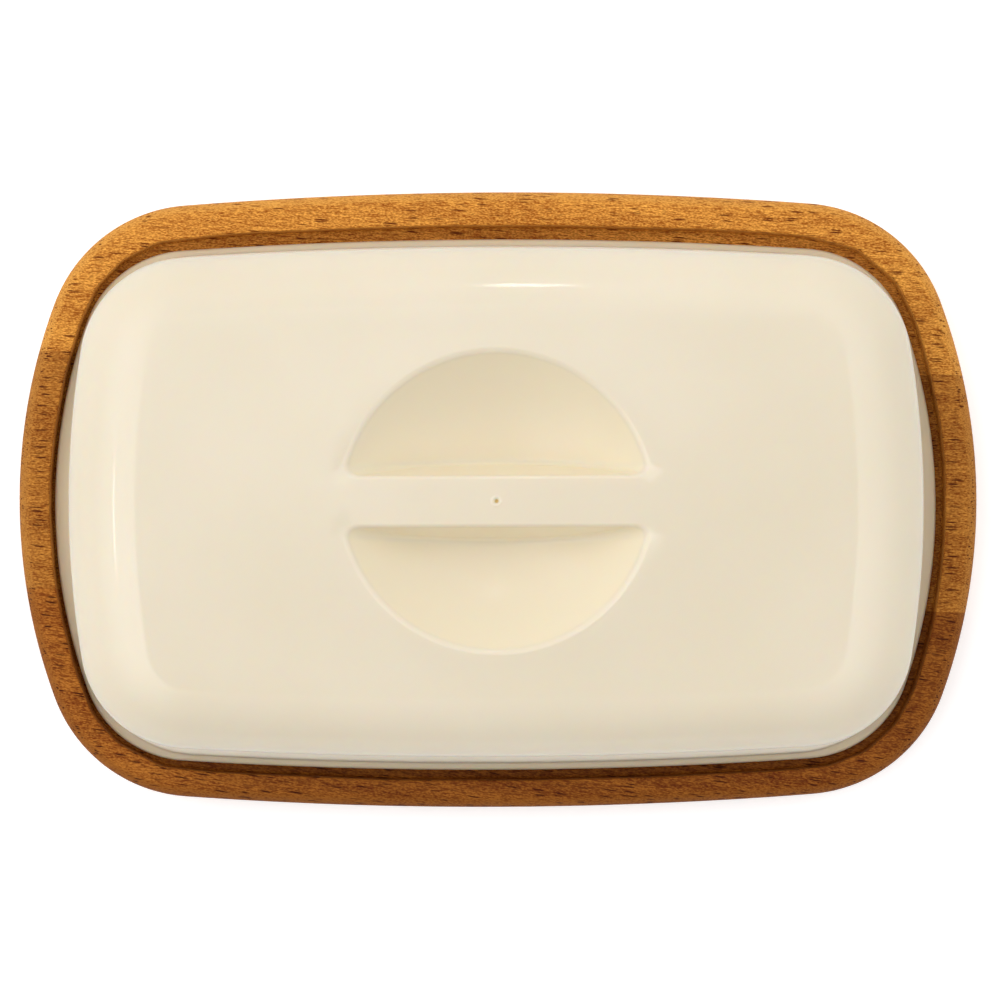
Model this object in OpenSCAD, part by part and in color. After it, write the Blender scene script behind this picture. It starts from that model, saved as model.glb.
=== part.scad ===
// Covered butter dish. A tray of three edge-glued beech staves has a routed recess, and a
// one-piece plastic hood stands in the recess and lifts off by its finger grip.
// Millimetres. The origin is the centre of the tray's underside, +X runs along the dish,
// +Y points to its rear and +Z up.

/* [Tray] */
// Length of the tray
tray_length = 190; // [186:1:200]
// Width of the tray
tray_width = 122; // [118:1:126]
// Thickness of the tray
tray_thickness = 16; // [14:0.5:20]
// Radius of the two bowed long sides
tray_side_radius = 820; // [700:10:1000]
// Radius of the two bowed ends
tray_end_radius = 113; // [105:1:125]
// Radius of the four corners
tray_corner_radius = 30; // [26:0.5:34]
// Rounding of the rim's outer top edge
rim_rounding = 3; // [1:0.25:4]
// Rounding of the underside's edge
base_rounding = 2; // [1:0.25:4]

/* [Recess] */
// Length of the routed recess
recess_length = 177; // [177:0.5:180]
// Width of the routed recess
recess_width = 109.4; // [107:0.2:112]
// Depth of the routed recess
recess_depth = 6; // [3:0.5:8]
// Radius of the recess's long sides
recess_side_radius = 890; // [700:10:1000]
// Radius of the recess's ends
recess_end_radius = 111; // [105:1:125]
// Radius of the recess's corners
recess_corner_radius = 22.5; // [20:0.5:26]
// Broken edge around the recess's mouth
recess_edge = 0.4; // [0.2:0.1:1]
// How far the recess lies off the tray's centre, towards the front
recess_offset = 0.65; // [0:0.05:1]

/* [Staves] */
// Where the rear glue line crosses the middle of the tray
rear_glue_y = 27; // [15:0.5:35]
// Where the front glue line crosses the middle of the tray
front_glue_y = -20; // [-35:0.5:-10]
// Slant of both glue lines, in degrees
glue_slant = -1.7; // [-3:0.1:3]

/* [Hood] */
// Length of the hood over its flange
hood_length = 175; // [172:0.5:175]
// Width of the hood over its flange
hood_width = 105.4; // [104:0.2:105.4]
// Height of the hood, from its flange's underside to its top plate
hood_height = 54; // [48:0.5:60]
// Radius of the flange's long sides
flange_side_radius = 950; // [800:10:1100]
// Radius of the flange's ends
flange_end_radius = 108; // [105:1:115]
// Radius of the flange's corners
flange_corner_radius = 21.5; // [20.5:0.5:24]
// Thickness of the flange
flange_thickness = 2; // [1.5:0.1:3]
// Length over the foot of the hood's wall
foot_length = 168; // [164:0.5:168]
// Width over the foot of the hood's wall
foot_width = 102.6; // [98:0.2:102.6]
// Radius of the wall's long sides at its foot
foot_side_radius = 1000; // [800:10:1200]
// Radius of the wall's ends at its foot
foot_end_radius = 182; // [170:1:220]
// Radius of the wall's corners at its foot
foot_corner_radius = 23.5; // [22:0.5:25]
// Lean of the wall, in degrees
wall_draft = 4.4; // [3:0.1:5]
// Radius of the rounded shoulder between wall and top plate
shoulder_radius = 12; // [9:0.5:13]
// Wall thickness of the moulding
wall_thickness = 2.2; // [1.8:0.1:2.6]
// How far the loosely standing hood lies off the tray's centre, to the right
hood_offset_right = -0.5; // [-0.5:0.05:0.5]
// How far the loosely standing hood lies off the tray's centre, to the rear
hood_offset_rear = -0.95; // [-1:0.05:0]

/* [Finger grip] */
// Diameter of the dished finger grip at the top plate
grip_diameter = 57; // [50:1:60]
// Depth of the dish below the top plate
grip_depth = 10.5; // [9:0.5:13]
// Width of the bar across the grip
bar_width = 9.6; // [8:0.2:12]
// Lean of the bar's sides, in degrees
bar_draft = 13; // [8:1:18]

/* [Hidden] */

// A plan is [half length, half width, side radius, end radius, corner radius].
tray_plan = [
    tray_length / 2, tray_width / 2, tray_side_radius, tray_end_radius, tray_corner_radius
];
recess_plan = [
    recess_length / 2, recess_width / 2,
    recess_side_radius, recess_end_radius, recess_corner_radius
];
flange_plan = [
    hood_length / 2, hood_width / 2,
    flange_side_radius, flange_end_radius, flange_corner_radius
];
foot_plan = [
    foot_length / 2, foot_width / 2, foot_side_radius, foot_end_radius, foot_corner_radius
];

// Steps along each kind of arc in a plan, and along each rounded edge.
side_steps = 12;
end_steps = 10;
corner_steps = 10;
rounding_steps = 4;
shoulder_steps = 8;

floor_z = tray_thickness - recess_depth;
flange_top_z = floor_z + flange_thickness;
hood_top_z = floor_z + hood_height;
flange_rounding = 0.6;
recess_offset_xy = [0, -recess_offset];
hood_offset = [hood_offset_right, hood_offset_rear];

// Height and inset of the centre of the shoulder's arc, which the plate's edge is above.
shoulder_z = hood_top_z - shoulder_radius;
wall_top_z = shoulder_z + shoulder_radius * sin(wall_draft);
shoulder_inset = (wall_top_z - flange_top_z) * tan(wall_draft)
    + shoulder_radius * cos(wall_draft);

// The grip's dish is part of a sphere.
dish_radius = (pow(grip_diameter / 2, 2) + pow(grip_depth, 2)) / (2 * grip_depth);
dish_centre_z = hood_top_z + dish_radius - grip_depth;
dish_fn = 96;

// Centre of the corner arc that is tangent inside both the side's arc and the end's arc.
function corner_centre(plan) =
    let (
        side = [0, plan[1] - plan[2]],
        end = [plan[0] - plan[3], 0],
        side_reach = plan[2] - plan[4],
        end_reach = plan[3] - plan[4],
        gap = norm(end - side),
        along = (end - side) / gap,
        t = (pow(side_reach, 2) - pow(end_reach, 2) + pow(gap, 2)) / (2 * gap),
        across = sqrt(pow(side_reach, 2) - pow(t, 2))
    )
    side + along * t + [along[1], -along[0]] * across;

// The eight arcs of a plan, anticlockwise from the +X end:
// each is [centre, radius, first angle, last angle, steps].
function plan_arcs(plan) =
    let (
        side_y = plan[1] - plan[2],
        end_x = plan[0] - plan[3],
        c = corner_centre(plan),
        low = atan2(c[1], c[0] - end_x),
        high = atan2(c[1] - side_y, c[0])
    )
    [
        [[end_x, 0], plan[3], -low, low, end_steps],
        [c, plan[4], low, high, corner_steps],
        [[0, side_y], plan[2], high, 180 - high, side_steps],
        [[-c[0], c[1]], plan[4], 180 - high, 180 - low, corner_steps],
        [[-end_x, 0], plan[3], 180 - low, 180 + low, end_steps],
        [-c, plan[4], 180 + low, 180 + high, corner_steps],
        [[0, -side_y], plan[2], 180 + high, 360 - high, side_steps],
        [[c[0], -c[1]], plan[4], 360 - high, 360 - low, corner_steps]
    ];

// One closed ring of points: a plan drawn in by inset, at height z, moved by offset.
function ring(plan, inset, z, offset) = [
    for (arc = plan_arcs(plan))
        for (i = [0 : arc[4] - 1])
            let (
                angle = arc[2] + (arc[3] - arc[2]) * i / arc[4],
                radius = arc[1] - inset
            )
            [
                offset[0] + arc[0][0] + radius * cos(angle),
                offset[1] + arc[0][1] + radius * sin(angle),
                z
            ]
];

// Rings along a profile, which is a list of [inset, z].
function rings(plan, profile, offset) = [for (p = profile) ring(plan, p[0], p[1], offset)];

// Points of a profile on an arc, in even steps between two angles. 0 points outwards.
function profile_arc(inset, z, radius, first, last, steps) = [
    for (i = [0 : steps])
        let (angle = first + (last - first) * i / steps)
        [inset - radius * cos(angle), z + radius * sin(angle)]
];

// A closed solid through rings of equal length, capped on the first ring and the last.
module loft(rings) {
    n = len(rings[0]);
    last = len(rings) - 1;
    polyhedron(
        points = [for (r = rings) for (p = r) p],
        faces = concat(
            [[for (i = [0 : n - 1]) i]],
            [
                for (k = [0 : last - 1])
                    for (i = [0 : n - 1])
                        let (j = (i + 1) % n)
                        [k * n + i, (k + 1) * n + i, (k + 1) * n + j, k * n + j]
            ],
            [[for (i = [n - 1 : -1 : 0]) last * n + i]]
        )
    );
}

// The whole tray as one board: underside, rounded rim and recess.
module board() {
    side_profile = concat(
        profile_arc(base_rounding, base_rounding, base_rounding, -90, 0, rounding_steps),
        profile_arc(
            rim_rounding, tray_thickness - rim_rounding, rim_rounding, 0, 90, rounding_steps
        )
    );
    recess_profile = [
        [-recess_edge, tray_thickness],
        [0, tray_thickness - recess_edge],
        [0, floor_z]
    ];
    loft(concat(
        rings(tray_plan, side_profile, [0, 0]),
        rings(recess_plan, recess_profile, recess_offset_xy)
    ));
}

// The part of the board between two glue lines, given by where they cross its middle.
module stave(front_y, rear_y) {
    reach = 2 * tray_length;
    intersection() {
        board();
        rotate([0, 0, glue_slant])
            translate([-reach / 2, front_y * cos(glue_slant), -tray_thickness])
                cube([reach, (rear_y - front_y) * cos(glue_slant), 3 * tray_thickness]);
    }
}

module rear_stave() {
    color([0.80, 0.52, 0.24]) stave(rear_glue_y, tray_width);
}

module middle_stave() {
    color([0.66, 0.38, 0.15]) stave(front_glue_y, rear_glue_y);
}

module front_stave() {
    color([0.72, 0.44, 0.18]) stave(-tray_width, front_glue_y);
}

// Flange, drafted wall, rounded shoulder and top plate, open below.
module hood_shell() {
    inner_radius = shoulder_radius - wall_thickness;
    inner_foot_inset = wall_thickness / cos(wall_draft) - flange_thickness * tan(wall_draft);
    inside = concat(
        profile_arc(shoulder_inset, shoulder_z, inner_radius, 90, wall_draft, shoulder_steps),
        [[inner_foot_inset, floor_z]]
    );
    flange = concat(
        [[flange_rounding, floor_z]],
        profile_arc(
            flange_rounding, flange_top_z - flange_rounding, flange_rounding,
            0, 90, rounding_steps
        )
    );
    outside = concat(
        [[0, flange_top_z]],
        profile_arc(
            shoulder_inset, shoulder_z, shoulder_radius, wall_draft, 90, shoulder_steps
        )
    );
    loft(concat(
        rings(foot_plan, inside, hood_offset),
        rings(flange_plan, flange, hood_offset),
        rings(foot_plan, outside, hood_offset)
    ));
}

// One half of the dish behind the bar's rear side, grown by a margin on every side.
module half_dish(margin) {
    reach = 2 * grip_diameter;
    intersection() {
        translate([0, 0, dish_centre_z])
            sphere(r = dish_radius + margin, $fn = dish_fn);
        translate([0, bar_width / 2, hood_top_z])
            rotate([bar_draft, 0, 0])
                translate([-reach / 2, -margin, -reach])
                    cube([reach, reach, 2 * reach]);
    }
}

// Both halves of the dish.
module both_half_dishes(margin) {
    for (turn = [0, 180])
        rotate([0, 0, turn]) half_dish(margin);
}

// The moulding under the dish, one wall thickness around it and inside the top plate.
module grip_pans() {
    reach = 2 * grip_diameter;
    intersection() {
        both_half_dishes(wall_thickness);
        translate([-reach / 2, -reach / 2, floor_z])
            cube([reach, reach, hood_height - wall_thickness / 2]);
    }
}

module hood() {
    color([0.93, 0.88, 0.79])
        difference() {
            union() {
                hood_shell();
                translate([hood_offset[0], hood_offset[1], 0]) grip_pans();
            }
            translate([hood_offset[0], hood_offset[1], 0]) both_half_dishes(0);
        }
}

rear_stave();
middle_stave();
front_stave();
hood();
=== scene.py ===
"""Covered butter dish: a tray of three glued beech staves, and a cream plastic hood on it."""
import math

import bmesh
import bpy
import numpy as np
from mathutils import Matrix, Vector
from mathutils.geometry import delaunay_2d_cdt


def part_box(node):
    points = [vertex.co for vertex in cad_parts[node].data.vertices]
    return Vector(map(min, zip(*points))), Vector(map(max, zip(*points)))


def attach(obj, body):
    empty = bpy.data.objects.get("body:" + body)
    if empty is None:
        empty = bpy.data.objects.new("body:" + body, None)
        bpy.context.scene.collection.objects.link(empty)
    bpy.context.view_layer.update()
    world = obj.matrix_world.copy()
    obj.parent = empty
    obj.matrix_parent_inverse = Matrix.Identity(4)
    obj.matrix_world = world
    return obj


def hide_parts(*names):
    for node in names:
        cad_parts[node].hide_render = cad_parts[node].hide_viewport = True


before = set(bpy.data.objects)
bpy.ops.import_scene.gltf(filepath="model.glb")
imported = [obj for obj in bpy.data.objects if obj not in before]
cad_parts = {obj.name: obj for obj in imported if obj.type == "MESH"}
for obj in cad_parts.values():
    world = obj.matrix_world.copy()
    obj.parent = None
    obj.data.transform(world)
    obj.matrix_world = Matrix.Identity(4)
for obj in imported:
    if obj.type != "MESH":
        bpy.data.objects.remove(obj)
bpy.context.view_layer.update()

MM = 0.001
STAVES = ("rear_stave", "middle_stave", "front_stave")

# The hood's proportions, as in the CAD model. Radii are (long sides, ends, corners), in metres.
WALL = 2.2 * MM
FLANGE_THICKNESS, FLANGE_RADII = 2 * MM, (0.95, 0.108, 0.0215)
FLANGE_REACH, FOOT_RADII = (3.5 * MM, 1.4 * MM), (1.0, 0.182, 0.0235)
SHOULDER = 12 * MM
WALL_LEAN = math.radians(4.4)
GRIP_RADIUS, GRIP_DEPTH = 28.5 * MM, 10.5 * MM
BAR_HALF, BAR_LEAN = 4.8 * MM, math.radians(13)

# The moulding's finer shape: how high the top plate domes, and how much further its ends come in.
CROWN, END_EASE = 0.35 * MM, 1.8 * MM
FOOT_FILLET, FLANGE_ROUND, EDGE_BREAK = 0.5 * MM, 0.6 * MM, 0.3 * MM
GATE_PATCH, GATE_RIM = 1.6 * MM, 0.06 * MM

# Each half of the finger dish is bounded by an arc whose centre lies past the bar's middle. The
# floor is flatter, and its sides steeper, than on a sphere, and more so at a higher power.
ARC_RADIUS, ARC_SHIFT, BOWL_POWER = 29.1 * MM, 1.1 * MM, 2.6

# The lip's radius at the bar and at the arcs, and how far from the bar it goes on changing.
BAR_LIP, ARC_LIP, LIP_CHANGE = 0.6 * MM, 0.5 * MM, 6 * MM

# The rounding between bar and floor, the larger one between bar and arc at the top, and the
# depth at which the one has become the other.
DISH_FILLET, DISH_CORNER, CORNER_DEPTH = 1.1 * MM, 2.2 * MM, 8 * MM

# The tray's proportions, as in the CAD model.
TRAY_RADII = (0.82, 0.113, 0.030)
RIM_WIDTH, RECESS_RADII = (6.5 * MM, 6.3 * MM), (0.89, 0.111, 0.0225)
RECESS_DEPTH, RECESS_SHIFT = 6 * MM, (0, -0.65 * MM)
RIM_ROUND, BASE_ROUND = 3 * MM, 2 * MM
GLUE_LINES, GLUE_SLANT = {"rear": 27 * MM, "front": -20 * MM}, math.radians(-1.7)

# The tray's finer shape: the sanded mouth of the recess and the router bit's corner.
MOUTH_ROUND, BIT_ROUND = 0.35 * MM, 0.7 * MM


# ---------------------------------------------------------------- outlines

class Plan:
    """A bowed rectangle with round corners: eight arcs, each tangent to the next."""

    side_steps, end_steps, corner_steps = 96, 60, 36

    def __init__(self, half_length, half_width, radii):
        side_radius, end_radius, corner_radius = radii
        side_reach, end_reach = side_radius - corner_radius, end_radius - corner_radius
        side = np.array([0, half_width - side_radius])
        end = np.array([half_length - end_radius, 0])
        corner = self.corner_centre(side, end, side_reach, end_reach)
        low = math.atan2(corner[1], corner[0] - end[0])
        high = math.atan2(corner[1] - side[1], corner[0])
        pi = math.pi
        on_side, on_end, on_corner = self.side_steps, self.end_steps, self.corner_steps
        arcs = [
            (end, end_radius, -low, low, on_end),
            (corner, corner_radius, low, high, on_corner),
            (side, side_radius, high, pi - high, on_side),
            (corner * (-1, 1), corner_radius, pi - high, pi - low, on_corner),
            (-end, end_radius, pi - low, pi + low, on_end),
            (-corner, corner_radius, pi + low, pi + high, on_corner),
            (-side, side_radius, pi + high, 2 * pi - high, on_side),
            (corner * (1, -1), corner_radius, 2 * pi - high, 2 * pi - low, on_corner),
        ]
        angles = np.concatenate([np.linspace(a, b, n, endpoint=False) for _, _, a, b, n in arcs])
        self.centres = np.concatenate([np.tile(c, (n, 1)) for c, _, _, _, n in arcs])
        self.radii = np.concatenate([np.full(n, r) for _, r, _, _, n in arcs])
        self.outward = np.column_stack([np.cos(angles), np.sin(angles)])

    @staticmethod
    def corner_centre(side, end, side_reach, end_reach):
        """Where a corner's centre lies, so that its arc is tangent to both long arcs."""
        gap = np.linalg.norm(end - side)
        along = (end - side) / gap
        t = (side_reach**2 - end_reach**2 + gap**2) / (2 * gap)
        across = math.sqrt(side_reach**2 - t**2)
        return side + along * t + np.array([along[1], -along[0]]) * across

    def ring(self, inset=0.0):
        """The outline's points, drawn in by inset."""
        return self.centres + self.outward * (self.radii - inset)[:, None]


def arc(centre, radius, first, last, steps):
    """Profile points (inset, z) on an arc between two angles; angle 0 points inwards."""
    a = np.linspace(first, last, steps + 1)
    return np.column_stack([centre[0] + radius * np.cos(a), centre[1] + radius * np.sin(a)])


def inside(points, loop):
    """Which points lie inside a closed loop."""
    x, y = points[:, 0], points[:, 1]
    hit = np.zeros(len(points), bool)
    for (x1, y1), (x2, y2) in zip(loop, np.roll(loop, -1, axis=0)):
        if y1 != y2:
            level = (y1 > y) != (y2 > y)
            hit ^= level & (x < (x2 - x1) * (y - y1) / (y2 - y1) + x1)
    return hit


def clearance(points, loop):
    """Distance from each point to the nearest corner of a loop."""
    return np.min(np.linalg.norm(points[:, None] - loop[None], axis=2), axis=1)


# ---------------------------------------------------------------- mesh making

class Sheet:
    """Gathers points and faces, then makes one mesh piece from them."""

    def __init__(self):
        self.points, self.faces = [], []

    def add(self, xy, z):
        """Adds points and returns their numbers."""
        first = len(self.points)
        heights = np.broadcast_to(z, len(xy))
        self.points += np.column_stack([xy, heights]).tolist()
        return np.arange(first, len(self.points))

    def chain(self, rings):
        """Bands of quads from each closed ring to the next; they face left of the way they go."""
        for a, b in zip(rings, rings[1:]):
            self.faces += np.column_stack([a, np.roll(a, -1), np.roll(b, -1), b]).tolist()

    def fan(self, ring, hub):
        self.faces += [[int(a), int(b), int(hub)] for a, b in zip(ring, np.roll(ring, -1))]

    def flip_from(self, first):
        self.faces[first:] = [face[::-1] for face in self.faces[first:]]

    def make(self, name):
        data = bpy.data.meshes.new(name)
        data.from_pydata(self.points, [], self.faces)
        data.shade_smooth()
        return link(bpy.data.objects.new(name, data))


def link(piece):
    bpy.context.scene.collection.objects.link(piece)
    return piece


def joined_box(names):
    """The box around several CAD nodes."""
    boxes = [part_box(name) for name in names]
    low = Vector([min(b[0][i] for b in boxes) for i in range(3)])
    high = Vector([max(b[1][i] for b in boxes) for i in range(3)])
    return low, high


# ---------------------------------------------------------------- the hood

class Hood:
    """The moulded hood. Its place and outer size come from the CAD node."""

    def __init__(self):
        low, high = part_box("hood")
        half = (high - low) / 2
        self.centre = np.array(((low + high) / 2)[:2])
        self.flange = Plan(half.x, half.y, FLANGE_RADII)
        self.foot = Plan(half.x - FLANGE_REACH[0], half.y - FLANGE_REACH[1], FOOT_RADII)
        self.base, self.sill = low.z, low.z + FLANGE_THICKNESS
        self.plate = high.z - CROWN - GATE_RIM
        self.shoulder_z = self.plate - SHOULDER
        wall_top = self.shoulder_z + SHOULDER * math.sin(WALL_LEAN)
        lean = (wall_top - self.sill) * math.tan(WALL_LEAN)
        self.shoulder_inset = lean + SHOULDER * math.cos(WALL_LEAN)
        self.plate_ring = self.eased(self.shoulder_inset)
        self.plate_reach = self.plate_ring.max(axis=0)
        self.sheet = Sheet()

    def eased(self, inset):
        """The foot's outline drawn in by inset; over the shoulder, the two ends come in further."""
        share = np.clip(1 - (self.shoulder_inset - inset) / SHOULDER, 0, 1)
        return self.foot.ring(inset + END_EASE * share * self.foot.outward[:, 0] ** 2)

    def crowned(self, x, y):
        """Height of the top plate, which is a faint dome that ends level at the shoulder."""
        rho = np.clip((x / self.plate_reach[0]) ** 2 + (y / self.plate_reach[1]) ** 2, 0, 1)
        return self.plate + CROWN * (1 - rho) ** 2

    def height(self, x, y, depth):
        """Height of the plate and its finger dish at x, y; depth is how far under the skin.

        The surface is where the signed distance beyond(z) is nought, found by halving.
        """
        arcs = np.clip((np.abs(y) - BAR_HALF) / LIP_CHANGE, 0, 1)
        lip = BAR_LIP + (ARC_LIP - BAR_LIP) * arcs + depth / 3
        share = np.hypot(x, np.abs(y) + ARC_SHIFT) / ARC_RADIUS
        floor = self.plate - GRIP_DEPTH * (1 - share**BOWL_POWER)
        steepness = BOWL_POWER * GRIP_DEPTH / ARC_RADIUS * share ** (BOWL_POWER - 1)

        def beyond(z):
            plate = z - self.crowned(x, y) + depth
            bowl = (floor - z) / np.hypot(1, steepness)
            bar = BAR_HALF - np.abs(y) + (self.plate - z) * math.tan(BAR_LEAN)
            near_top = np.clip(1 - (self.plate - z) / CORNER_DEPTH, 0, 1)
            fillet = DISH_FILLET + (DISH_CORNER - DISH_FILLET) * near_top
            dish = rounded_overlap(bowl, bar * math.cos(BAR_LEAN), fillet)
            return rounded_overlap(plate, depth - dish, lip)

        low = np.full_like(x, self.plate - 2 * GRIP_DEPTH)
        high = np.full_like(x, self.plate + 1 * MM)
        halvings = 34
        for _ in range(halvings):
            middle = (low + high) / 2
            above = beyond(middle) > 0
            low, high = np.where(above, low, middle), np.where(above, middle, high)
        return (low + high) / 2

    def dish_outline(self, margin, steps):
        """Outline of the dish's rear half, grown by margin; steps along chord, corner and arc."""
        corner_y = BAR_HALF + DISH_CORNER
        corner_x = math.sqrt((ARC_RADIUS - DISH_CORNER) ** 2 - (corner_y + ARC_SHIFT) ** 2)
        turn = math.atan2(corner_y + ARC_SHIFT, corner_x)
        chord, corner, along = steps
        spans = [
            ((corner_x, corner_y), DISH_CORNER + margin, -math.pi / 2, turn, corner),
            ((0, -ARC_SHIFT), ARC_RADIUS + margin, turn, math.pi - turn, along),
            ((-corner_x, corner_y), DISH_CORNER + margin, math.pi - turn, 1.5 * math.pi, corner),
        ]
        points = [
            np.array(centre) + radius * circle(np.linspace(first, last, n, endpoint=False))
            for centre, radius, first, last, n in spans
        ]
        x = np.linspace(-corner_x, corner_x, chord, endpoint=False)
        points.append(np.column_stack([x, np.full(chord, BAR_HALF - margin)]))
        return np.concatenate(points)

    def add_plate(self, edge_ring, depth, margin, steps, shares, with_gate):
        """The plate inside edge_ring, with both halves of the dish and the gate's mark.

        Rings run from each half's outline in to a hub, at the given shares of the way out.
        """
        def add(xy):
            z = self.height(xy[:, 0], xy[:, 1], depth)
            if with_gate:
                z = z + gate_mark(np.hypot(xy[:, 0], xy[:, 1]))
            return self.sheet.add(xy + self.centre, z)

        hub = np.array([0, (BAR_HALF + GRIP_RADIUS) / 2 - 3 * MM])
        outline = self.dish_outline(margin, steps)
        loops = [(self.plate_ring, edge_ring)]
        for side in (1, -1):
            rings = [add(side * (hub + share * (outline - hub))) for share in shares]
            self.sheet.chain(rings)
            self.sheet.fan(rings[-1], add(side * hub[None])[0])
            loops.append((side * outline, rings[0]))
        if with_gate:
            turn = circle(np.linspace(0, 2 * math.pi, 40, endpoint=False))
            rings = [add(turn * r) for r in np.linspace(GATE_PATCH, GATE_PATCH / 20, 20)]
            self.sheet.chain(rings)
            self.sheet.faces.append(rings[-1].tolist())
            loops.append((turn * GATE_PATCH, rings[0]))
        self.fill(loops, add)

    def fill(self, loops, add):
        """Triangles between the first loop and the loops inside it, on a grid of inner points.

        Each loop is its outline and the numbers of its points.
        """
        reach, step = self.plate_reach, 3 * MM
        x, y = np.meshgrid(*[np.arange(-limit, limit, step) for limit in reach])
        grid = np.column_stack([x.ravel(), y.ravel()])
        keep = inside(grid, loops[0][0])
        for number, (loop, _) in enumerate(loops):
            keep &= clearance(grid, loop) > step / 2
            if number:
                keep &= ~inside(grid, loop)
        grid = grid[keep]
        points = np.concatenate([*[loop for loop, _ in loops], grid])
        ids = np.concatenate([*[ring for _, ring in loops], add(grid)])
        owner = np.full(len(points), -1)
        edges, first = [], 0
        for number, (loop, _) in enumerate(loops):
            count = len(loop)
            edges += [(first + k, first + (k + 1) % count) for k in range(count)]
            owner[first:first + count] = number
            first += count
        flat = [Vector(p) for p in points / MM]
        _, _, faces, sources, _, _ = delaunay_2d_cdt(flat, edges, [], 0, 1e-6)
        triangles = np.array([[sources[v][0] for v in face] for face in faces])
        within = inside(points[triangles].mean(axis=1), loops[0][0])
        for corners in triangles[within]:
            owners = set(owner[corners])
            if owners & {-1, 0} or len(owners) > 1:
                self.sheet.faces.append(ids[corners].tolist())

    def rings(self, plan, profile):
        """One closed ring of points for each profile point (inset, z)."""
        outline = self.eased if plan is self.foot else plan.ring
        return [self.sheet.add(outline(inset) + self.centre, z) for inset, z in profile]

    def inner_profile(self):
        """From the plate's underside down the inside of the shoulder and wall."""
        centre = (self.shoulder_inset, self.shoulder_z)
        shoulder = arc(centre, SHOULDER - WALL, math.pi / 2, math.pi - WALL_LEAN, 16)
        offset = WALL / math.cos(WALL_LEAN) - self.sill * math.tan(WALL_LEAN)
        broken = 0.4 * MM
        levels = np.linspace(shoulder[-1][1], self.base + broken, 8)[1:]
        wall = np.column_stack([levels * math.tan(WALL_LEAN) + offset, levels])
        edge = (self.base * math.tan(WALL_LEAN) + offset - broken, self.base)
        return [*shoulder, *wall, edge]

    def flange_profile(self):
        """From the flange's underside round its edge to its top."""
        under = (EDGE_BREAK, self.base + EDGE_BREAK)
        over = (FLANGE_ROUND, self.sill - FLANGE_ROUND)
        return [
            *arc(under, EDGE_BREAK, 1.5 * math.pi, math.pi, 4),
            *arc(over, FLANGE_ROUND, math.pi, math.pi / 2, 6),
        ]

    def outer_profile(self):
        """From the hollow at the wall's foot up the wall and over the shoulder to the plate."""
        reach = FOOT_FILLET * (1 - math.sin(WALL_LEAN)) / math.cos(WALL_LEAN)
        foot = arc((-reach, self.sill + FOOT_FILLET), FOOT_FILLET, -math.pi / 2, -WALL_LEAN, 6)
        centre = (self.shoulder_inset, self.shoulder_z)
        shoulder = arc(centre, SHOULDER, math.pi - WALL_LEAN, math.pi / 2, 36)
        wall = np.linspace(foot[-1], shoulder[0], 10)[1:-1]
        return [*foot, *wall, *shoulder]

    def build(self):
        inner = self.rings(self.foot, self.inner_profile())
        flange = self.rings(self.flange, self.flange_profile())
        outer = self.rings(self.foot, self.outer_profile())
        self.sheet.chain([*inner, *flange, *outer])
        # Rings lie closest at the lip, and close again where the bar meets the dish's floor.
        fine = np.concatenate([
            np.linspace(1, 0.90, 16, endpoint=False),
            np.linspace(0.90, 0.71, 16, endpoint=False),
            np.linspace(0.71, 0.59, 16, endpoint=False),
            np.linspace(0.59, 0.05, 14),
        ])
        self.add_plate(outer[-1], 0, 0.9 * MM, (96, 18, 140), fine, True)
        upper = len(self.sheet.faces)
        coarse = np.concatenate([
            np.linspace(1, 0.5, 22, endpoint=False),
            np.linspace(0.5, 0.06, 8),
        ])
        self.add_plate(inner[0], WALL, 3.2 * MM, (44, 10, 64), coarse, False)
        self.sheet.flip_from(upper)
        return self.sheet.make("hood_moulding")


def circle(angles):
    return np.column_stack([np.cos(angles), np.sin(angles)])


def rounded_overlap(a, b, radius):
    """Signed distance to the overlap of two solids, with the edge between them rounded."""
    corner = np.hypot(np.maximum(a + radius, 0), np.maximum(b + radius, 0))
    return np.minimum(-radius, np.maximum(a, b)) + corner


def gate_mark(r):
    """The injection gate's mark: a small pit in a fine raised ring."""
    pit = -0.25 * MM * np.exp(-((r / (0.45 * MM)) ** 4))
    rim = GATE_RIM * np.exp(-(((r - 0.85 * MM) / (0.2 * MM)) ** 2))
    return pit + rim


# ---------------------------------------------------------------- the tray

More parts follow.
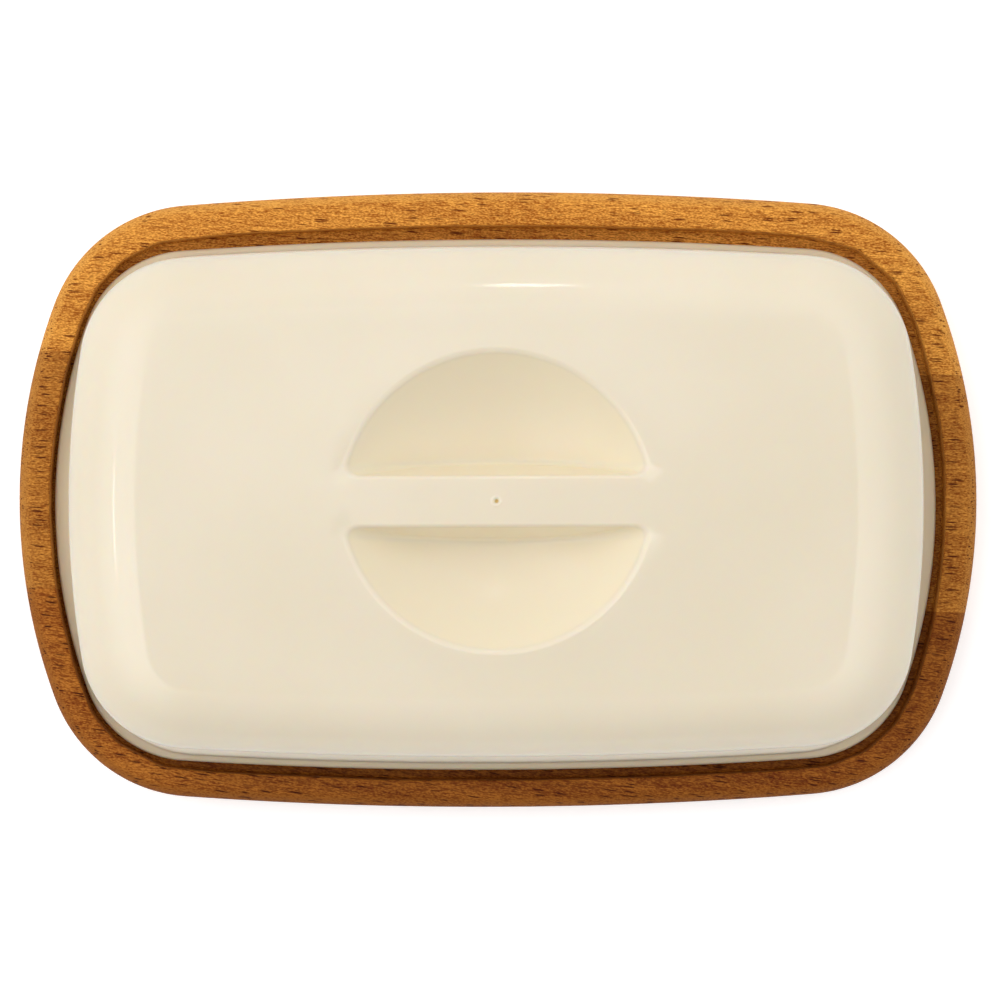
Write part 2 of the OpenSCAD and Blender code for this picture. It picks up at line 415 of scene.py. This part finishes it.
class Tray:
    """The board that the three staves make up. Its size comes from the CAD nodes."""

    def __init__(self):
        low, high = joined_box(STAVES)
        half = (high - low) / 2
        self.base, self.top = low.z, high.z
        self.outer = Plan(half.x, half.y, TRAY_RADII)
        self.recess = Plan(half.x - RIM_WIDTH[0], half.y - RIM_WIDTH[1], RECESS_RADII)

    def sanded(self, size, rng):
        """How unevenly the outer edge is sanded away: long soft swells, never proud."""
        turn = np.linspace(0, 2 * math.pi, len(self.outer.radii), endpoint=False)
        swells = sum(np.cos(k * turn + rng.uniform(0, 6.3)) / k for k in (2, 3, 5, 8, 13))
        return size * (swells - swells.min()) / np.ptp(swells)

    def routed(self, rng):
        """How far the hand-guided recess edge strays from its plan: short, nearly straight cuts."""
        ring = self.recess.ring()
        steps = np.linalg.norm(np.roll(ring, -1, axis=0) - ring, axis=1)
        cuts = [0]
        travelled, length = 0.0, 7 * MM
        for k, step in enumerate(steps):
            travelled += step
            if travelled > length and k < len(ring) - 4:
                cuts.append(k)
                travelled, length = 0.0, rng.uniform(6, 11) * MM
        strays = rng.uniform(-0.3 * MM, -0.05 * MM, len(cuts))
        knots = ring[cuts] - self.recess.outward[cuts] * strays[:, None]
        at = np.arange(len(ring))
        path = np.column_stack([np.interp(at, cuts, knots[:, i], period=len(ring)) for i in (0, 1)])
        ease = np.array([1, 2, 3, 2, 1]) / 9
        around = np.concatenate([path[-4:], path, path[:4]])
        eased = np.column_stack([np.convolve(around[:, i], ease, "same") for i in (0, 1)])[4:-4]
        return eased - ring

    def board(self):
        """One closed mesh of the whole board, before it is parted into staves."""
        rng = np.random.default_rng(4)
        sheet = Sheet()
        side = [
            *arc((BASE_ROUND, self.base + BASE_ROUND), BASE_ROUND, 1.5 * math.pi, math.pi, 6),
            *arc((RIM_ROUND, self.top - RIM_ROUND), RIM_ROUND, math.pi, math.pi / 2, 10),
        ]
        worn = self.sanded(0.12 * MM, rng)
        rings = [sheet.add(self.outer.ring(inset + worn), z) for inset, z in side]
        floor = self.top - RECESS_DEPTH
        mouth = arc((-MOUTH_ROUND, self.top - MOUTH_ROUND), MOUTH_ROUND, math.pi / 2, 0, 4)
        bit = arc((BIT_ROUND, floor + BIT_ROUND), BIT_ROUND, math.pi, 1.5 * math.pi, 5)
        stray = self.routed(rng) + RECESS_SHIFT
        rings += [sheet.add(self.recess.ring(inset) + stray, z) for inset, z in [*mouth, *bit]]
        sheet.chain(rings)
        sheet.faces.append(rings[0][::-1].tolist())
        sheet.faces.append(rings[-1].tolist())
        return sheet.make("board")

    def stave(self, board, name, front, rear):
        """The part of the board between two glue lines, closed where it was cut."""
        mesh = bmesh.new()
        mesh.from_mesh(board.data)
        across = Vector((-math.sin(GLUE_SLANT), math.cos(GLUE_SLANT), 0))
        for line, kept in ((front, across), (rear, -across)):
            if line is None:
                continue
            geometry = [*mesh.verts, *mesh.edges, *mesh.faces]
            cut = bmesh.ops.bisect_plane(
                mesh, geom=geometry, dist=1e-7,
                plane_co=(0, line, 0), plane_no=kept, clear_inner=True,
            )
            edges = [e for e in cut["geom_cut"] if isinstance(e, bmesh.types.BMEdge)]
            bmesh.ops.edgeloop_fill(mesh, edges=edges)
        bmesh.ops.recalc_face_normals(mesh, faces=mesh.faces)
        data = bpy.data.meshes.new(name)
        mesh.to_mesh(data)
        mesh.free()
        data.shade_smooth()
        data.set_sharp_from_angle(angle=math.radians(40))
        return link(bpy.data.objects.new(name, data))

    def build(self):
        """The three staves, by the name of the CAD node that each stands for."""
        board = self.board()
        rear, front = GLUE_LINES["rear"], GLUE_LINES["front"]
        spans = {
            "rear_stave": (rear, None),
            "middle_stave": (front, rear),
            "front_stave": (None, front),
        }
        staves = {name: self.stave(board, name + "_wood", *span) for name, span in spans.items()}
        bpy.data.objects.remove(board)
        return staves


# ---------------------------------------------------------------- materials

class Shading:
    """The nodes of a material or world, with short calls that add nodes and join them up."""

    def __init__(self, owner, shader="Principled BSDF"):
        owner.use_nodes = True
        self.owner = owner
        self.tree = owner.node_tree
        self.shader = self.tree.nodes[shader]

    def feed(self, socket, value):
        if isinstance(value, bpy.types.NodeSocket):
            self.tree.links.new(value, socket)
        else:
            socket.default_value = value

    def node(self, kind, inputs=None, **settings):
        made = self.tree.nodes.new("ShaderNode" + kind)
        for name, value in settings.items():
            setattr(made, name, value)
        for name, value in (inputs or {}).items():
            self.feed(made.inputs[name], value)
        return made

    def surface(self, inputs):
        """Feeds several inputs of the shader itself."""
        for name, value in inputs.items():
            self.feed(self.shader.inputs[name], value)

    def place(self, location=(0, 0, 0), turn=0.0, cell=(1, 1, 1)):
        """Object coordinates, turned about Z by turn and then measured in cells of that size."""
        where = self.node("TexCoord").outputs["Object"]
        turned = self.node("Mapping", {"Vector": where, "Rotation": (0, 0, turn)}).outputs[0]
        inputs = {"Vector": turned, "Scale": [1 / c for c in cell], "Location": location}
        return self.node("Mapping", inputs).outputs[0]

    def noise(self, place, detail=2.0, roughness=0.5, distortion=0.0):
        inputs = {
            "Vector": place, "Scale": 1.0, "Detail": detail, "Roughness": roughness,
            "Distortion": distortion,
        }
        return self.node("TexNoise", inputs).outputs["Fac"]

    def axes(self, vector):
        """The x, y and z of a vector."""
        return self.node("SeparateXYZ", {0: vector}).outputs

    def dot(self, a, b):
        return self.node("VectorMath", {0: a, 1: b}, operation="DOT_PRODUCT").outputs["Value"]

    def calc(self, operation, a, b=0.0):
        made = self.node("Math", operation=operation)
        self.feed(made.inputs[0], a)
        self.feed(made.inputs[1], b)
        return made.outputs[0]

    def spread(self, value, low, high, new_low=0.0, new_high=1.0):
        """Maps low..high to new_low..new_high, smoothly and without going past them."""
        inputs = {
            "Value": value, "From Min": low, "From Max": high,
            "To Min": new_low, "To Max": new_high,
        }
        return self.node("MapRange", inputs, interpolation_type="SMOOTHSTEP").outputs[0]

    def mix(self, share, a, b, blend="MIX"):
        made = self.node("Mix", data_type="RGBA", blend_type=blend)
        self.feed(made.inputs[0], share)
        self.feed(made.inputs[6], a)
        self.feed(made.inputs[7], b)
        return made.outputs[2]

    def bump(self, height, distance, strength=1.0):
        inputs = {"Height": height, "Distance": distance, "Strength": strength}
        return self.node("Bump", inputs).outputs[0]


def flecks(shade, shift, turn, cell, share, width):
    """Dark flecks along the grain, as a mask; share is how many cells have one."""
    place = shade.place(shift, turn, cell)
    wobble = shade.node("TexNoise", {"Vector": place, "Scale": 1.3, "Detail": 1.0}).outputs["Color"]
    bent = shade.node("VectorMath", operation="MULTIPLY_ADD")
    shade.feed(bent.inputs[0], wobble)
    shade.feed(bent.inputs[1], (0.5, 0.5, 0.5))
    shade.feed(bent.inputs[2], place)
    cells = shade.node("TexVoronoi", {"Vector": bent.outputs[0], "Scale": 1.0, "Randomness": 1.0})
    lens = shade.spread(cells.outputs["Distance"], width, width * 0.45)
    chance = shade.node("SeparateColor", {"Color": cells.outputs["Color"]}).outputs[0]
    chosen = shade.spread(chance, 1 - share, 1 - share * 0.55)
    return shade.calc("MULTIPLY", lens, chosen)


def beech(name, tone_and_shade, grain_turn, fleck_share, shift, pale_end, top):
    """Oiled beech of a given tone, which holds painted light and shade as well as the wood's own
    colour. Its grain runs along X, turned a few degrees about Z.

    shift moves the figure, pale_end is how much paler the left end is painted, as painted light
    from the left, and the rounded edges just below top are paler: partly sanded wear, partly a
    painted sheen where the rounding catches the light.
    """
    shade = Shading(bpy.data.materials.new(name))
    turn = math.radians(grain_turn)
    seed, other = (shift, shift * 0.37, shift * 0.71), (shift * 1.9, 4.1, shift)
    pale = (*np.multiply(tone_and_shade, (1.6, 2.0, 3.1)), 1)
    dark = (*np.multiply(tone_and_shade, (0.48, 0.29, 0.11)), 1)
    deep = (*np.multiply(tone_and_shade, (0.2, 0.09, 0.03)), 1)
    worn = (*np.multiply(tone_and_shade, (1.2, 1.5, 2.6)), 1)

    bands = shade.noise(shade.place(seed, turn, (60 * MM, 3.2 * MM, 8 * MM)), 3, 0.55, 0.6)
    fibre = shade.noise(shade.place(seed, turn, (2.2 * MM, 0.30 * MM, 0.30 * MM)), 3, 0.75)
    grit = shade.noise(shade.place(other, turn, (0.55 * MM, 0.24 * MM, 0.24 * MM)), 1, 0.5)
    strokes = shade.noise(shade.place(other, turn, (1.9 * MM, 0.28 * MM, 0.4 * MM)), 1, 0.5)
    long_flecks = flecks(shade, seed, turn, (4.4 * MM, 0.52 * MM, 0.6 * MM), fleck_share, 0.4)
    short_flecks = flecks(shade, other, turn, (1.7 * MM, 0.32 * MM, 0.5 * MM), 0.7, 0.42)

    banding = shade.spread(bands, 0.3, 0.7, 0, 0.3)
    balance = shade.calc("ADD", banding, shade.spread(fibre, 0.3, 0.7, 0, 0.45))
    balance = shade.calc("ADD", balance, shade.spread(grit, 0.25, 0.75, -0.2, 0.45))
    colour = shade.mix(balance, dark, pale)
    colour = shade.mix(shade.spread(strokes, 0.54, 0.68, 0, 0.7), colour, dark)
    colour = shade.mix(shade.calc("MULTIPLY", short_flecks, 0.45), colour, deep)
    along, _, height = shade.axes(shade.node("TexCoord").outputs["Object"])
    # Painted light: the left end is made paler, as light from the left would make it.
    painted_left_light = shade.spread(along, -40 * MM, -80 * MM, 0, pale_end)
    colour = shade.mix(painted_left_light, colour, (1.4, 1.5, 1.6, 1), "MULTIPLY")
    # The rounded edges are made paler: partly sanded wear, partly a painted sheen where the
    # rounding catches the light.
    sanded = shade.spread(height, top - 0.05 * MM, top - 0.5 * MM)
    sanded = shade.calc("MULTIPLY", sanded, shade.spread(height, top - 3.0 * MM, top - 1.2 * MM))
    sanded = shade.calc("MULTIPLY", sanded, shade.spread(grit, 0.35, 0.65, 0.25, 0.8))
    colour = shade.mix(sanded, colour, worn)
    colour = shade.mix(shade.calc("MULTIPLY", long_flecks, 0.95), colour, deep)

    relief = shade.calc("SUBTRACT", shade.calc("MULTIPLY", fibre, 0.4), long_flecks)
    relief = shade.calc("ADD", relief, shade.calc("MULTIPLY", grit, 0.4))
    shade.surface({
        "Base Color": colour,
        "Roughness": shade.spread(fibre, 0.25, 0.75, 0.5, 0.68),
        "Specular IOR Level": 0.08,
        "Normal": shade.bump(relief, 0.05 * MM, 0.8),
    })
    return shade.owner


def cream_plastic(gate, plate, shoulder, sill):
    """Cream moulding: an ochre speck at the gate, satin walls, and a flange and wall foot tinted
    yellower as painted warm shade.

    The finger dish is tinted yellower as painted shade and is less shiny, and its steep sides
    have a faint painted glow, emission standing in for light that the plastic around them passes
    on. plate, shoulder and sill are heights: the top plate's, that of the shoulder's centre and the
    flange top's.
    """
    shade = Shading(bpy.data.materials.new("cream_plastic"))
    cloud = shade.noise(shade.place(cell=(35 * MM, 35 * MM, 35 * MM)), 2)
    dull_cream, bright_cream = (0.72, 0.643, 0.498, 1), (0.735, 0.658, 0.518, 1)
    colour = shade.mix(shade.spread(cloud, 0.3, 0.7), dull_cream, bright_cream)
    where = shade.node("TexCoord").outputs["Object"]
    height = shade.axes(where)[2]
    # Painted shade: the flange and the hollow at the wall's foot are tinted yellower, as warm
    # shade.
    warm_foot_shade = shade.spread(height, sill + 0.8 * MM, sill - 0.1 * MM)
    colour = shade.mix(warm_foot_shade, colour, (0.74, 0.635, 0.46, 1))
    apart = shade.node("VectorMath", {0: where, 1: gate}, operation="DISTANCE").outputs["Value"]
    sunken = shade.spread(height, plate + 0.05 * MM, plate - 0.8 * MM)
    central = shade.spread(apart, GRIP_RADIUS + 3 * MM, GRIP_RADIUS + 1 * MM)
    dish = shade.calc("MULTIPLY", sunken, central)
    # Painted shade: the finger dish is tinted yellower, as the warm shade inside it.
    colour = shade.mix(dish, colour, (0.715, 0.63, 0.47, 1))
    level = shade.axes(shade.node("NewGeometry").outputs["Normal"])[2]
    # Painted light: the dish's steep sides get a faint emission, standing in for light that the
    # plastic around them passes on.
    painted_glow = shade.spread(level, 0.98, 0.72, 0.01, 0.1)
    speck = shade.spread(apart, 0.5 * MM, 0.3 * MM)
    colour = shade.mix(speck, colour, (0.55, 0.36, 0.10, 1))
    smear = shade.noise(shade.place(cell=(9 * MM, 9 * MM, 9 * MM)), 4)
    satin = shade.spread(height, shoulder + 5 * MM, shoulder - 3 * MM, 0.0, 0.4)
    dull = shade.calc("MAXIMUM", satin, shade.calc("MULTIPLY", dish, 0.12))
    peel = shade.noise(shade.place(cell=(1.3 * MM, 1.3 * MM, 1.3 * MM)), 2)
    shade.surface({
        "Base Color": colour,
        "Subsurface Weight": 0.5,
        "Subsurface Radius": (1.0, 0.55, 0.25),
        "Subsurface Scale": 1.8 * MM,
        "Roughness": shade.calc("ADD", shade.spread(smear, 0.3, 0.7, 0.06, 0.09), dull),
        "Specular IOR Level": shade.spread(height, shoulder + 5 * MM, shoulder - 3 * MM, 0.5, 0.2),
        "Emission Color": (0.92, 0.79, 0.46, 1),
        "Emission Strength": shade.calc("MULTIPLY", dish, painted_glow),
        "Normal": shade.bump(peel, 0.002 * MM, 0.5),
    })
    return shade.owner


def floor_paper():
    """Matt white paper with the faintest tooth."""
    shade = Shading(bpy.data.materials.new("floor_paper"))
    tooth = shade.noise(shade.place(cell=(2 * MM, 2 * MM, 2 * MM)), 3)
    shade.surface({
        "Base Color": shade.mix(tooth, (0.93, 0.93, 0.93, 1), (0.96, 0.96, 0.96, 1)),
        "Roughness": 0.9,
        "Specular IOR Level": 0.1,
        "Emission Color": (1, 1, 1, 1),
        "Emission Strength": 0.33,
    })
    return shade.owner


# ---------------------------------------------------------------- studio

def place_camera():
    """Almost straight above the dish, a little in front of it, with a long lens."""
    top = joined_box(STAVES)[1].z
    height, lens = 845 * MM, 153.9
    data = bpy.data.cameras.new("camera")
    data.sensor_width, data.lens = 36, lens
    camera = link(bpy.data.objects.new("camera", data))
    eye = Vector((-3.4 * MM, -10.8 * MM, top + height))
    aim = Vector((0.35 * MM, -0.14 * MM, top))
    back = (eye - aim).normalized()
    roll = Matrix.Rotation(math.radians(-0.2), 3, back)
    right = (roll @ Vector((0, 1, 0)).cross(back)).normalized()
    turned = Matrix((right, back.cross(right), back)).transposed()
    camera.matrix_world = Matrix.Translation(eye) @ turned.to_4x4()
    bpy.context.scene.camera = camera


def panel(name, zenith, azimuth, size, radiance, distance=1.3):
    """A soft light panel that faces the dish. Azimuth 0 is to the rear, 90 to the right."""
    data = bpy.data.lights.new(name, "AREA")
    data.shape, data.size, data.size_y = "RECTANGLE", size[0], size[1]
    data.energy = radiance * math.pi * size[0] * size[1]
    light = link(bpy.data.objects.new(name, data))
    z, a = math.radians(zenith), math.radians(azimuth)
    away = Vector((math.sin(z) * math.sin(a), math.sin(z) * math.cos(a), math.cos(z)))
    light.location = away * distance
    light.rotation_euler = away.to_track_quat("Z", "Y").to_euler()
    light.visible_camera = False


# The white walls round the dish: which way each lies, and its brightness near the ceiling and
# near the floor.
WALLS = {
    "left": ((-1, 0), 2.75, 0.9),
    "rear": ((0, 1), 1.35, 0.7),
    "right": ((1, 0), 1.6, 0.75),
    "front": ((0, -1), 0.45, 0.15),
}


def light_studio():
    """A white tent with four unlike walls, a dark place round the camera, and two small lamps.

    The dark place is brighter towards the rear left. Below the horizon the tent shows only in
    reflections, because the floor hides it from all else.
    """
    world = bpy.data.worlds.new("tent")
    bpy.context.scene.world = world
    shade = Shading(world, "Background")
    way = shade.node("TexCoord").outputs["Generated"]
    up = shade.axes(way)[2]
    flat = shade.node("VectorMath", {0: way, 1: (1, 1, 0)}, operation="MULTIPLY").outputs[0]
    level = shade.node("VectorMath", {0: flat}, operation="NORMALIZE").outputs[0]
    strength = 0.0
    for (x, y), high, low in WALLS.values():
        facing = shade.calc("MAXIMUM", shade.dot(level, (x, y, 0)), 0.0)
        share = shade.calc("POWER", facing, 2.0)
        wall = shade.calc("MULTIPLY", share, shade.spread(up, 0.25, 0.95, low, high))
        strength = shade.calc("ADD", strength, wall)
    slope = shade.dot(way, (-6.5, 16.0, 0))
    dark = shade.calc("MAXIMUM", shade.calc("ADD", slope, 0.4), 0.0)
    hole = shade.spread(up, math.cos(math.radians(9)), math.cos(math.radians(7)))
    outside = shade.calc("MULTIPLY", strength, shade.calc("SUBTRACT", 1.0, hole))
    strength = shade.calc("ADD", outside, shade.calc("MULTIPLY", hole, dark))
    below = shade.spread(up, 0.05, -0.2)
    above = shade.calc("MULTIPLY", strength, shade.calc("SUBTRACT", 1.0, below))
    strength = shade.calc("ADD", above, shade.calc("MULTIPLY", below, 0.68))
    shade.surface({"Color": (1.0, 1.0, 1.0, 1), "Strength": strength})
    panel("rear_lamp", 43.5, 1.5, (0.04, 0.13), 9)
    panel("left_lamp", 38, -90, (0.12, 0.035), 6)


# ---------------------------------------------------------------- the scene

def dress_hood():
    hood = Hood()
    piece = hood.build()
    gate = (*hood.centre, hood.plate + CROWN)
    piece.data.materials.append(cream_plastic(gate, hood.plate, hood.shoulder_z, hood.sill))
    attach(piece, "hood")
    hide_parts("hood")


def dress_tray():
    tray = Tray()
    # The tones fall from rear to front partly as the staves differ and partly as painted light and
    # shade: the rear stave is lit, the front one darkened where the hood shades it from the rear
    # light.
    woods = {
        "rear_stave": beech("rear_wood", (0.56, 0.21, 0.024), 4, 0.35, 0.3, 0, tray.top),
        "middle_stave": beech("middle_wood", (0.375, 0.127, 0.0135), 3, 0.55, 5.1, 0, tray.top),
        "front_stave": beech("front_wood", (0.23, 0.063, 0.0055), 9, 0.55, 9.7, 1, tray.top),
    }
    for node, piece in tray.build().items():
        piece.data.materials.append(woods[node])
        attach(piece, "tray")
        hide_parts(node)


def lay_floor():
    """A wide paper floor. Reflections don't show it, so the hood's grazing edges stay soft."""
    size = 6
    corners = np.array([(-1, -1), (1, -1), (1, 1), (-1, 1)]) * size / 2
    sheet = Sheet()
    sheet.faces.append(sheet.add(corners, 0.0).tolist())
    floor = sheet.make("floor")
    floor.data.materials.append(floor_paper())
    floor.visible_glossy = False


place_camera()
light_studio()
lay_floor()
dress_hood()
dress_tray()

scene = bpy.context.scene
scene.view_settings.view_transform = "Standard"
